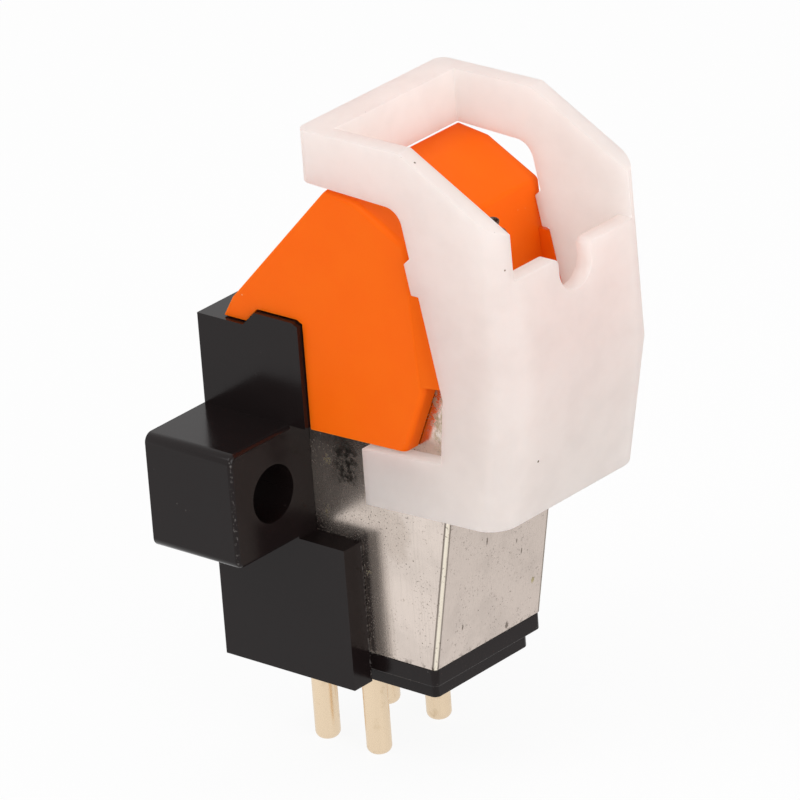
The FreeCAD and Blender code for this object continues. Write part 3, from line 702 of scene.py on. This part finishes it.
@dataclass(frozen=True)
class PlainPlastic:
    """Matt plastic, rubber or enamel with a faint grain.

    Attributes:
        name: The material's name.
        tone: Its colour.
        gloss: Its roughness.
        metal: How metallic it is.
        clear: How much light passes through it.
    """

    name: str
    tone: Triple
    gloss: float
    metal: float = 0.0
    clear: float = 0.0

    def make(self) -> bpy.types.Material:
        """Builds the material.

        Returns:
            The material.
        """
        surface = Surface(self.name)
        cloud = surface.noise(0.6, 4.0).ramp(0.35, 0.7)
        tone = surface.colour(self.tone, tuple(c * 0.8 for c in self.tone), cloud)
        return surface.finish(
            Base_Color=tone,
            Metallic=self.metal,
            Transmission_Weight=self.clear,
            Roughness=self.gloss + cloud * 0.12,
            Normal=surface.bump(surface.noise(0.08, 2.0), 0.004, 0.4),
        )


def make_finishes() -> dict[Slot, bpy.types.Material]:
    """Builds every finish of the cartridge once, for all its pieces.

    Returns:
        The material of each slot.
    """
    recipes: dict[Slot, Any] = {
        Slot.BLACK: BlackMoulding(),
        Slot.NICKEL: NickelPlate(),
        Slot.ORANGE: OrangeMoulding(),
        Slot.GUARD: MilkyGuard(),
        Slot.GILT: PlainMetal("gilt_finish", srgb(240, 218, 188), 0.2, tarnish=(0.45, 0.33, 0.18)),
        Slot.SLEEVE: PlainMetal("sleeve_finish", (0.8, 0.79, 0.77), 0.28),
        Slot.CORE: PlainMetal("core_finish", (0.52, 0.51, 0.5), 0.4, Direction.X),
        Slot.ALLOY: PlainMetal("alloy_finish", (0.85, 0.85, 0.86), 0.2, spread=0.1,
                               glued_above=12.0),
        Slot.MAGNET: PlainMetal("magnet_finish", (0.35, 0.34, 0.34), 0.35),
        Slot.COPPER: PlainMetal("copper_finish", (0.72, 0.28, 0.12), 0.25, Direction.X),
        Slot.BOBBIN: PlainPlastic("bobbin_finish", (0.72, 0.69, 0.6), 0.5),
        Slot.RUBBER: PlainPlastic("rubber_finish", (0.02, 0.02, 0.02), 0.7),
        Slot.DIAMOND: PlainPlastic("diamond_finish", srgb(116, 70, 40), 0.05, clear=0.3),
    }
    return {slot: recipe.make() for slot, recipe in recipes.items()}


# ---- meshes ----


def link(name: str, data: Any) -> bpy.types.Object:
    """Adds an object to the scene, at the origin.

    Args:
        name: The object's name.
        data: Its mesh, camera or lamp.

    Returns:
        The object.
    """
    thing = bpy.data.objects.new(name, data)
    bpy.context.scene.collection.objects.link(thing)
    return thing


def settle(carrier: bpy.types.Object) -> bpy.types.Mesh:
    """Applies an object's modifiers and removes the object.

    Args:
        carrier: An object that only carries a mesh and its modifiers.

    Returns:
        The plain mesh that they make.
    """
    graph = bpy.context.evaluated_depsgraph_get()
    mesh = bpy.data.meshes.new_from_object(carrier.evaluated_get(graph), depsgraph=graph,
                                           preserve_all_data_layers=True)
    bpy.data.objects.remove(carrier)
    return mesh


def round_edges(work: bmesh.types.BMesh, edges: list[bmesh.types.BMEdge], width: float,
                steps: int) -> list[bmesh.types.BMFace]:
    """Rounds edges of a mesh.

    Args:
        work: The mesh.
        edges: The edges to round.
        width: How far they are cut back on each side, in millimetres.
        steps: How many faces run round an edge.

    Returns:
        The new faces.
    """
    made = bmesh.ops.bevel(work, geom=edges, offset=width * MM, offset_type="OFFSET",
                           segments=steps, profile=0.5, affect="EDGES", clamp_overlap=True)
    return made["faces"]


@dataclass(frozen=True)
class Softening:
    """Copies a solid's mesh, cleans it and rounds its sharp edges.

    Attributes:
        width: How far an edge is cut back on each side, in millimetres.
        steps: How many faces run round an edge.
        angle: The smallest turn between two faces that counts as an edge, in degrees.
        flat: The largest turn between two faces that are merged into one, in degrees.
    """

    width: float
    steps: int = 3
    angle: float = 28.0
    flat: float = 0.6

    def apply(self, node: str) -> bpy.types.Mesh:
        """Makes the softened mesh of one CAD node.

        Args:
            node: The CAD node.

        Returns:
            The new mesh, with the mask of its rounded edges.
        """
        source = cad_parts[node]
        work = bmesh.new()
        work.from_mesh(source.data)
        bmesh.ops.remove_doubles(work, verts=work.verts, dist=WELD)
        bmesh.ops.dissolve_limit(work, angle_limit=math.radians(self.flat), verts=work.verts,
                                 edges=work.edges, delimit=set())
        bmesh.ops.recalc_face_normals(work, faces=work.faces)
        limit = math.radians(self.angle)
        sharp = [e for e in work.edges if len(e.link_faces) == 2 and e.calc_face_angle(0.0) > limit]
        # mask of the rounded edges, later used for wear marks and for a painted highlight on the
        # orange
        edge_layer = work.loops.layers.float.new("rounded_edge")
        for face in round_edges(work, sharp, self.width, self.steps):
            for loop in face.loops:
                loop[edge_layer] = 1.0
        for face in work.faces:
            face.smooth = True
        mesh = bpy.data.meshes.new(node + "_soft")
        work.to_mesh(mesh)
        work.free()
        carrier = link(node + "_carrier", mesh)
        carrier.modifiers.new("weighted", "WEIGHTED_NORMAL").weight = 100
        return settle(carrier)


@dataclass(frozen=True)
class Workshop:
    """Makes pieces, gives them their finish and hands them to the frame."""

    finishes: dict[Slot, bpy.types.Material]

    def paint(self, mesh: bpy.types.Mesh, slot: Slot) -> None:
        """Gives a mesh the finish of a slot and no other."""
        mesh.materials.clear()
        mesh.materials.append(self.finishes[slot])

    def place(self, name: str, mesh: bpy.types.Mesh, slot: Slot, body: Body,
              *stands_for: str) -> None:
        """Adds one piece to the scene and tells the frame what it rides on and stands for.

        Args:
            name: The piece's name.
            mesh: Its mesh, in place.
            slot: Its finish.
            body: The body that it moves with.
            *stands_for: The CAD nodes that it replaces.
        """
        thing = link(name, mesh)
        self.paint(mesh, slot)
        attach(thing, body.value)
        if stands_for:
            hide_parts(*stands_for)
        LOG.info("%s: %d faces", thing.name, len(thing.data.polygons))

    def soften(self, name: str, node: str, slot: Slot, body: Body, softening: Softening) -> None:
        """Replaces a CAD node with its softened copy."""
        self.place(name, softening.apply(node), slot, body, node)

    def dress(self, node: str, slot: Slot) -> None:
        """Gives a CAD node that stays the finish of a slot."""
        self.paint(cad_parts[node].data, slot)
        LOG.info("%s keeps its own solid", node)


@dataclass
class Recipe:
    """A Geometry Nodes tree with named sizes, run once and turned into a plain mesh.

    Attributes:
        name: The tree's name.
        sizes: Its inputs and their values, in metres or counts.
        finish: The material of its result.
    """

    name: str
    sizes: dict[str, Union[float, int]]
    finish: bpy.types.Material

    def run(self, build: Callable[[Tree, dict[str, Value]], Value]) -> bpy.types.Mesh:
        """Builds the tree, evaluates it on an empty mesh and gives the result.

        Args:
            build: Fills the tree from its named inputs and gives its geometry.

        Returns:
            The plain mesh, with its material set.
        """
        group = bpy.data.node_groups.new(self.name, "GeometryNodeTree")
        tree = Tree(group)
        group.interface.new_socket("Geometry", in_out="INPUT", socket_type="NodeSocketGeometry")
        group.interface.new_socket("Geometry", in_out="OUTPUT", socket_type="NodeSocketGeometry")
        found = {}
        for word, size in self.sizes.items():
            kind = "NodeSocketInt" if isinstance(size, int) else "NodeSocketFloat"
            made = group.interface.new_socket(word, in_out="INPUT", socket_type=kind)
            found[word] = made.identifier
        entry = tree.add("NodeGroupInput")
        words = {word: Value(tree, entry.outputs[word]) for word in self.sizes}
        whole = tree.node("GeometryNodeRealizeInstances", inputs={"Geometry": build(tree, words)})
        painted = tree.node("GeometryNodeSetMaterial", inputs={
            "Geometry": whole, "Material": self.finish,
        })
        tree.add("NodeGroupOutput", inputs={0: painted})
        carrier = link(self.name + "_carrier", bpy.data.meshes.new(self.name))
        modifier = carrier.modifiers.new(self.name, "NODES")
        modifier.node_group = group
        for word, size in self.sizes.items():
            modifier[found[word]] = size
        return settle(carrier)


def shade_smooth(mesh: bpy.types.Mesh, angle: float = 35.0) -> bpy.types.Mesh:
    """Smooths a mesh apart from its sharp edges.

    Args:
        mesh: The mesh.
        angle: The smallest turn that stays sharp, in degrees.

    Returns:
        The same mesh.
    """
    work = bmesh.new()
    work.from_mesh(mesh)
    bmesh.ops.remove_doubles(work, verts=work.verts, dist=WELD)
    for face in work.faces:
        face.smooth = True
    for edge in work.edges:
        edge.smooth = edge.calc_face_angle(0.0) < math.radians(angle)
    work.to_mesh(mesh)
    work.free()
    return mesh


# ---- sub-assemblies ----


@dataclass
class CartridgeBody:
    """The fixed half: black moulding, plated can, terminal base, pins, cores and coils.

    Attributes:
        shop: The workshop that makes its pieces.
        pin_round: The radius at a pin's free end, in millimetres.
        root_radius: The radius of a pin's root inside the base, in millimetres.
        root_length: The length of that root, in millimetres.
        ring_gap: The widest gap between two rings of a pin near its root, in millimetres.
        crowding: How strongly a pin's rings crowd toward its round end.
        wire: The radius of the coil wire, in millimetres.
        wire_pitch: The rise of one turn, as a multiple of the wire's radius.
    """

    shop: Workshop
    pin_round: float = 0.35
    root_radius: float = 0.4
    root_length: float = 2.83
    ring_gap: float = 0.12
    crowding: float = 2.2
    wire: float = 0.055
    wire_pitch: float = 2.05

    def build(self) -> None:
        """Builds and dresses every piece of the fixed half."""
        for name, node, slot, softening in (
            ("black_body", "body_moulding", Slot.BLACK, Softening(0.05)),
            ("plated_can", "shield_can", Slot.NICKEL, Softening(0.04, 2)),
            ("pin_base", "terminal_base", Slot.BLACK, Softening(0.04, 2)),
        ):
            self.shop.soften(name, node, slot, Body.CARTRIDGE, softening)
        self.pins()
        self.coils()
        for node in ("pole_left", "pole_right", "core_bridge", "channel_screen"):
            self.shop.dress(node, Slot.CORE)
        for node in ("bobbin_left", "bobbin_right"):
            self.shop.dress(node, Slot.BOBBIN)
        self.shop.dress("coil_leads", Slot.COPPER)

    def pins(self) -> None:
        """Turns one pin and repeats it on the four corners of the pin grid."""
        names = ("pin_left_signal", "pin_left_return", "pin_right_signal", "pin_right_return")
        boxes = [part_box(name) for name in names]
        low = Vector(min(b[0][i] for b in boxes) for i in range(3))
        high = Vector(max(b[1][i] for b in boxes) for i in range(3))
        radius = (boxes[0][1].x - boxes[0][0].x) / 2
        sizes: dict[str, Union[float, int]] = {
            "Pitch": high.x - low.x - 2 * radius,
            "Gauge": high.y - low.y - 2 * radius,
            "Middle X": (low.x + high.x) / 2,
            "Lowest": low.z,
            "Length": high.z - low.z,
            "Radius": radius,
            "End Radius": self.pin_round * MM,
            "Root Step": radius - self.root_radius * MM,
            "Root Length": self.root_length * MM,
            "Rings": 110,
            "Sides": 40,
        }

        def build(tree: Tree, size: dict[str, Value]) -> Value:
            """Fills the tree of the pins.

            Args:
                tree: The tree to fill.
                size: Its named inputs.

            Returns:
                The geometry.
            """
            top = tree.node("ShaderNodeCombineXYZ", inputs={2: size["Length"]})
            line = tree.node("GeometryNodeCurvePrimitiveLine", inputs={
                "Start": (0.0, 0.0, 0.0), "End": top,
            })
            rings = tree.node("GeometryNodeResampleCurve", inputs={
                "Curve": line, "Count": size["Rings"],
            })
            share = tree.node("GeometryNodeSplineParameter", output="Factor")
            height = share ** self.crowding * size["Length"]
            crowded = tree.node("ShaderNodeCombineXYZ", inputs={2: height})
            axis = tree.node("GeometryNodeSetPosition", inputs={
                "Geometry": rings, "Position": crowded,
            })
            rise = (size["End Radius"] - share * size["Length"]).highest(0.0)
            inset = size["End Radius"] - (size["End Radius"] ** 2.0 - rise ** 2.0) ** 0.5
            inside = share * size["Length"] - (size["Length"] - size["Root Length"])
            narrow = inside.ramp(self.ring_gap * MM, self.ring_gap * 1.2 * MM) * size["Root Step"]
            section = tree.node("GeometryNodeCurvePrimitiveCircle", inputs={
                "Resolution": size["Sides"], "Radius": 1.0,
            })
            pin = tree.node("GeometryNodeCurveToMesh", inputs={
                "Curve": axis, "Profile Curve": section, "Scale": size["Radius"] - inset - narrow,
                "Fill Caps": True,
            })
            grid = tree.node("GeometryNodeMeshGrid", inputs={
                "Size X": size["Pitch"], "Size Y": size["Gauge"], "Vertices X": 2, "Vertices Y": 2,
            })
            shift = tree.node("ShaderNodeCombineXYZ", inputs={
                0: size["Middle X"], 2: size["Lowest"],
            })
            moved = tree.node("GeometryNodeTransform", inputs={
                "Geometry": grid, "Translation": shift,
            })
            return tree.node("GeometryNodeInstanceOnPoints", inputs={
                "Points": moved, "Instance": pin,
            })

        mesh = Recipe("contact_pins", sizes, self.shop.finishes[Slot.GILT]).run(build)
        self.shop.place("contact_pins", shade_smooth(mesh), Slot.GILT, Body.CARTRIDGE, *names)

    def coils(self) -> None:
        """Winds both coils as helices of fine wire, in the room of their solids."""
        names = ("coil_left", "coil_right")
        (low, high), (_, far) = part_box(names[0]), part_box(names[1])
        outer = (high.x - low.x) / 2
        turns = int((high.z - low.z) / (self.wire_pitch * self.wire * MM))
        sizes: dict[str, Union[float, int]] = {
            "Turns": float(turns),
            "Radius": outer - self.wire * MM,
            "Height": high.z - low.z - 2 * self.wire * MM,
            "Wire Radius": self.wire * MM,
            "Middle X": (low.x + high.x) / 2,
            "First Y": (low.y + high.y) / 2,
            "Step Y": far.y - outer - (low.y + high.y) / 2,
            "Lowest": low.z + self.wire * MM,
            "Points per Turn": 28,
            "Wire Sides": 6,
        }

        def build(tree: Tree, size: dict[str, Value]) -> Value:
            """Fills the tree of the windings.

            Args:
                tree: The tree to fill.
                size: Its named inputs.

            Returns:
                The geometry.
            """
            helix = tree.node("GeometryNodeCurveSpiral", inputs={
                "Resolution": size["Points per Turn"], "Rotations": size["Turns"],
                "Start Radius": size["Radius"], "End Radius": size["Radius"],
                "Height": size["Height"],
            })
            section = tree.node("GeometryNodeCurvePrimitiveCircle", inputs={
                "Resolution": size["Wire Sides"], "Radius": size["Wire Radius"],
            })
            winding = tree.node("GeometryNodeCurveToMesh", inputs={
                "Curve": helix, "Profile Curve": section, "Fill Caps": True,
            })
            start = tree.node("ShaderNodeCombineXYZ", inputs={
                0: size["Middle X"], 1: size["First Y"], 2: size["Lowest"],
            })
            step = tree.node("ShaderNodeCombineXYZ", inputs={1: size["Step Y"]})
            row = tree.node("GeometryNodeMeshLine", {"mode": "OFFSET"}, {
                "Count": 2, "Start Location": start, "Offset": step,
            })
            return tree.node("GeometryNodeInstanceOnPoints", inputs={
                "Points": row, "Instance": winding,
            })

        mesh = Recipe("coil_windings", sizes, self.shop.finishes[Slot.COPPER]).run(build)
        mesh = shade_smooth(mesh, 80.0)
        self.shop.place("coil_windings", mesh, Slot.COPPER, Body.CARTRIDGE, *names)


@dataclass
class StylusUnit:
    """The pull-off half: orange holder, plug sleeve, damper and stylus lever.

    Attributes:
        shop: The workshop that makes its pieces.
        fin_inside: The distance of a fin's inner face from the middle plane, in millimetres.
        fin_root: The same of its outer face where it leaves the holder.
        fin_lip: The same of its outer face at its front edge.
        fin_depth: How far a fin reaches into the holder, in millimetres.
        fin_low: Where the lower end leaves the holder and where it ends, along X, and its height.
        fin_high: The same for the upper end.
        fin_round: How far a fin's edges are cut back, in millimetres.
    """

    shop: Workshop
    fin_inside: float = 4.12
    fin_root: float = 4.61
    fin_lip: float = 4.27
    fin_depth: float = 0.15
    fin_low: Triple = (12.53, 14.0, 6.15)
    fin_high: Triple = (12.27, 13.05, 10.5)
    fin_round: float = 0.03

    def build(self) -> None:
        """Builds and dresses every piece of the pull-off half."""
        holder = ("orange_holder", "stylus_holder", Slot.ORANGE, Body.STYLUS_UNIT)
        self.shop.soften(*holder, Softening(0.04))
        self.fins()
        for name, node, slot, body, softening in (
            ("square_sleeve", "plug_sleeve", Slot.SLEEVE, Body.STYLUS_UNIT, Softening(0.03, 2)),
            ("rubber_damper", "damper", Slot.RUBBER, Body.SUSPENSION, Softening(0.04, 2)),
            ("thin_lever", "cantilever", Slot.ALLOY, Body.LEVER, Softening(0.01, 1, 50.0)),
            ("joint_collar", "joint_pipe", Slot.ALLOY, Body.LEVER, Softening(0.02, 2, 50.0)),
            ("rod_magnet", "magnet", Slot.MAGNET, Body.LEVER, Softening(0.03, 2, 50.0)),
            ("diamond_tip", "stylus_tip", Slot.DIAMOND, Body.LEVER, Softening(0.005, 1, 50.0)),
        ):
            self.shop.soften(name, node, slot, body, softening)

    def fins(self) -> None:
        """Builds the two thin fins that stand forward of the holder, behind the guard's walls."""
        work = bmesh.new()
        for side in (-1.0, 1.0):
            rings = []
            for root, front, height in (self.fin_low, self.fin_high):
                back = root - self.fin_depth
                outline = [
                    (back, self.fin_inside), (front, self.fin_inside), (front, self.fin_lip),
                    (root, self.fin_root), (back, self.fin_root),
                ]
                rings.append([
                    work.verts.new((x * MM, side * y * MM, height * MM)) for x, y in outline
                ])
            low, high = rings
            count = len(low)
            for i in range(count):
                work.faces.new((low[i], low[(i + 1) % count], high[(i + 1) % count], high[i]))
            work.faces.new(low)
            work.faces.new(high)
        bmesh.ops.recalc_face_normals(work, faces=work.faces)
        round_edges(work, list(work.edges), self.fin_round, 2)
        bmesh.ops.triangulate(work, faces=work.faces)
        mesh = bpy.data.meshes.new("orange_fins")
        work.to_mesh(mesh)
        work.free()
        self.shop.place("orange_fins", shade_smooth(mesh), Slot.ORANGE, Body.STYLUS_UNIT)


@dataclass
class StylusGuard:
    """The milky slide-on guard.

    Attributes:
        shop: The workshop that makes its pieces.
    """

    shop: Workshop

    def build(self) -> None:
        """Builds and dresses the guard."""
        self.shop.soften("milky_guard", "stylus_guard", Slot.GUARD, Body.GUARD, Softening(0.05))


# ---- studio ----


@dataclass
class Studio:
    """Camera, floor and lamps.

    Attributes:
        eye: The camera's place, in millimetres.
        right: The direction across the picture.
        up: The direction up the picture.
        lens: The focal length for a 36 mm wide picture.
        floor: The height of the floor, in millimetres.
        floor_reach: How far the floor goes each way, in millimetres.
        floor_tone: The colour that lights the object from the floor.
        floor_white: How much of the floor is plain white where it is seen.
        far_floor: What metal shows of the floor on the record side.
        far_fade: Where that begins and ends, along X and Y together, in millimetres.
        sky_light: The strength of the sky's light where it isn't seen.
        middle: The place that the lamps look at, in millimetres.
        lamps: Each lamp's name, place and size in millimetres, and power in watts.
    """

    eye: Triple = (243.43, -263.46, 156.69)
    right: Triple = (0.7630, 0.6425, -0.0711)
    up: Triple = (-0.2080, 0.3481, 0.9141)
    lens: float = 391.5
    floor: float = -14.12
    floor_reach: float = 2000.0
    floor_tone: Triple = (0.86, 0.86, 0.86)
    floor_white: float = 0.92
    far_floor: Triple = (0.74, 0.72, 0.71)
    far_fade: tuple[float, float] = (-28.0, 56.0)
    sky_light: float = 0.76
    middle: Triple = (9.0, 0.0, 2.0)
    lamps: tuple[tuple[str, Triple, tuple[float, float], float], ...] = (
        ("key", (-60.0, -150.0, 190.0), (120.0, 120.0), 0.13),
        ("fill", (230.0, -60.0, 60.0), (120.0, 160.0), 0.22),
        ("top", (20.0, 20.0, 220.0), (200.0, 200.0), 0.02),
    )

    def build(self) -> None:
        """Sets up the whole studio."""
        self.camera()
        self.ground()
        self.sky()
        for lamp in self.lamps:
            self.lamp(*lamp)
        bpy.context.scene.view_settings.view_transform = "Standard"

    def camera(self) -> None:
        """Puts the camera at the photograph's viewing angle."""
        data = bpy.data.cameras.new("camera")
        data.lens = self.lens
        data.sensor_width = 36.0
        data.clip_start = 0.01
        data.clip_end = 10.0
        thing = link("camera", data)
        across = Vector(self.right).normalized()
        upward = Vector(self.up)
        upward = (upward - across * upward.dot(across)).normalized()
        back = across.cross(upward)
        turn = Matrix((across, upward, back)).transposed().to_4x4()
        thing.matrix_world = Matrix.Translation(Vector(self.eye) * MM) @ turn
        bpy.context.scene.camera = thing

    def ground(self) -> None:
        """Lays the pale floor, which shows white to the camera and keeps a faint shadow."""
        mesh = bpy.data.meshes.new("floor")
        reach = self.floor_reach * MM
        corners = [(-reach, -reach), (reach, -reach), (reach, reach), (-reach, reach)]
        mesh.from_pydata([(x, y, self.floor * MM) for x, y in corners], [], [(0, 1, 2, 3)])
        thing = link("floor", mesh)
        surface = Surface("pale_floor")
        seen, mirrored = self.sight(surface)
        far = (surface.along(Direction.X) + surface.along(Direction.Y)).ramp(*self.far_fade)
        shade = surface.colour((1.0, 1.0, 1.0), self.far_floor, far * mirrored)
        matt = surface.node("ShaderNodeBsdfDiffuse", inputs={"Color": self.floor_tone})
        white = surface.node("ShaderNodeEmission", inputs={"Color": shade, "Strength": 1.0})
        both = surface.node("ShaderNodeMixShader", inputs={
            0: seen * self.floor_white, 1: matt, 2: white,
        })
        surface.add("ShaderNodeOutputMaterial", inputs={"Surface": both})
        mesh.materials.append(surface.material)

    def sky(self) -> None:
        """Surrounds the object with an even pale light that the camera sees as white."""
        world = bpy.data.worlds.new("studio")
        bpy.context.scene.world = world
        world.use_nodes = True
        world.node_tree.nodes.clear()
        tree = Tree(world.node_tree)
        seen, _ = self.sight(tree)
        light = tree.node("ShaderNodeBackground", inputs={
            "Color": (1.0, 1.0, 1.0), "Strength": seen.ramp(0.0, 1.0, self.sky_light, 1.0),
        })
        tree.add("ShaderNodeOutputWorld", inputs={"Surface": light})

    def sight(self, tree: Tree) -> tuple[Value, Value]:
        """Tells what is seen from what only lights the object.

        Args:
            tree: The tree to add to.

        Returns:
            A mask of what the camera sees directly, mirrored or through the object, and a mask
            of what it sees mirrored.
        """
        path = tree.add("ShaderNodeLightPath")
        direct, mirrored, through = (
            Value(tree, path.outputs[word])
            for word in ("Is Camera Ray", "Is Glossy Ray", "Is Transmission Ray")
        )
        return direct.highest(mirrored).highest(through), mirrored

    def lamp(self, name: str, place: Triple, size: tuple[float, float], watts: float) -> None:
        """Hangs one soft lamp that looks at the middle of the object.

        Args:
            name: The lamp's name.
            place: Its place, in millimetres.
            size: Its width and height, in millimetres.
            watts: Its power.
        """
        data = bpy.data.lights.new(name, "AREA")
        data.shape = "RECTANGLE"
        data.size = size[0] * MM
        data.size_y = size[1] * MM
        data.energy = watts
        thing = link(name, data)
        aim = Vector(self.middle) * MM - Vector(place) * MM
        thing.matrix_world = (Matrix.Translation(Vector(place) * MM)
                              @ aim.to_track_quat("-Z", "Y").to_matrix().to_4x4())


def main() -> None:
    """Builds the sub-assemblies and the studio in order."""
    logging.basicConfig(level=logging.INFO, format="%(name)s: %(message)s")
    shop = Workshop(make_finishes())
    assemblies: Iterable[Any] = (CartridgeBody(shop), StylusUnit(shop), StylusGuard(shop), Studio())
    for assembly in assemblies:
        assembly.build()
        LOG.info("%s done", type(assembly).__name__)


if __name__ == "__main__":
    main()
